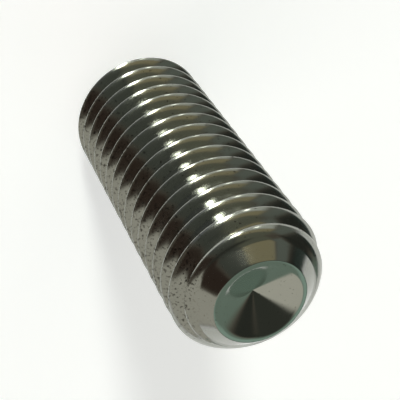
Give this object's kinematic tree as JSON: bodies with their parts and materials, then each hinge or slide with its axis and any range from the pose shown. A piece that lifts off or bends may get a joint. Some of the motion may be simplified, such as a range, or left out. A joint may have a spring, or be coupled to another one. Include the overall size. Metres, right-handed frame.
{
  "type": "hexagon socket set screw with cup point",
  "caption": "Headless set screw: right-hand threaded shank with a bevelled cup point at one end and a hexagon socket in the other.",
  "frame": {"origin": "middle of the flat socket end face, which the screw stands on", "axes": "+Z along the screw's axis, from the socket end to the cup point; +X towards a corner of the hexagon socket"},
  "size_m": [0.01, 0.01, 0.025],
  "materials": {
    "steel": "bright rolled and turned steel"
  },
  "bodies": {
    "root": {"set_screw": "steel"}
  },
  "joints": []
}
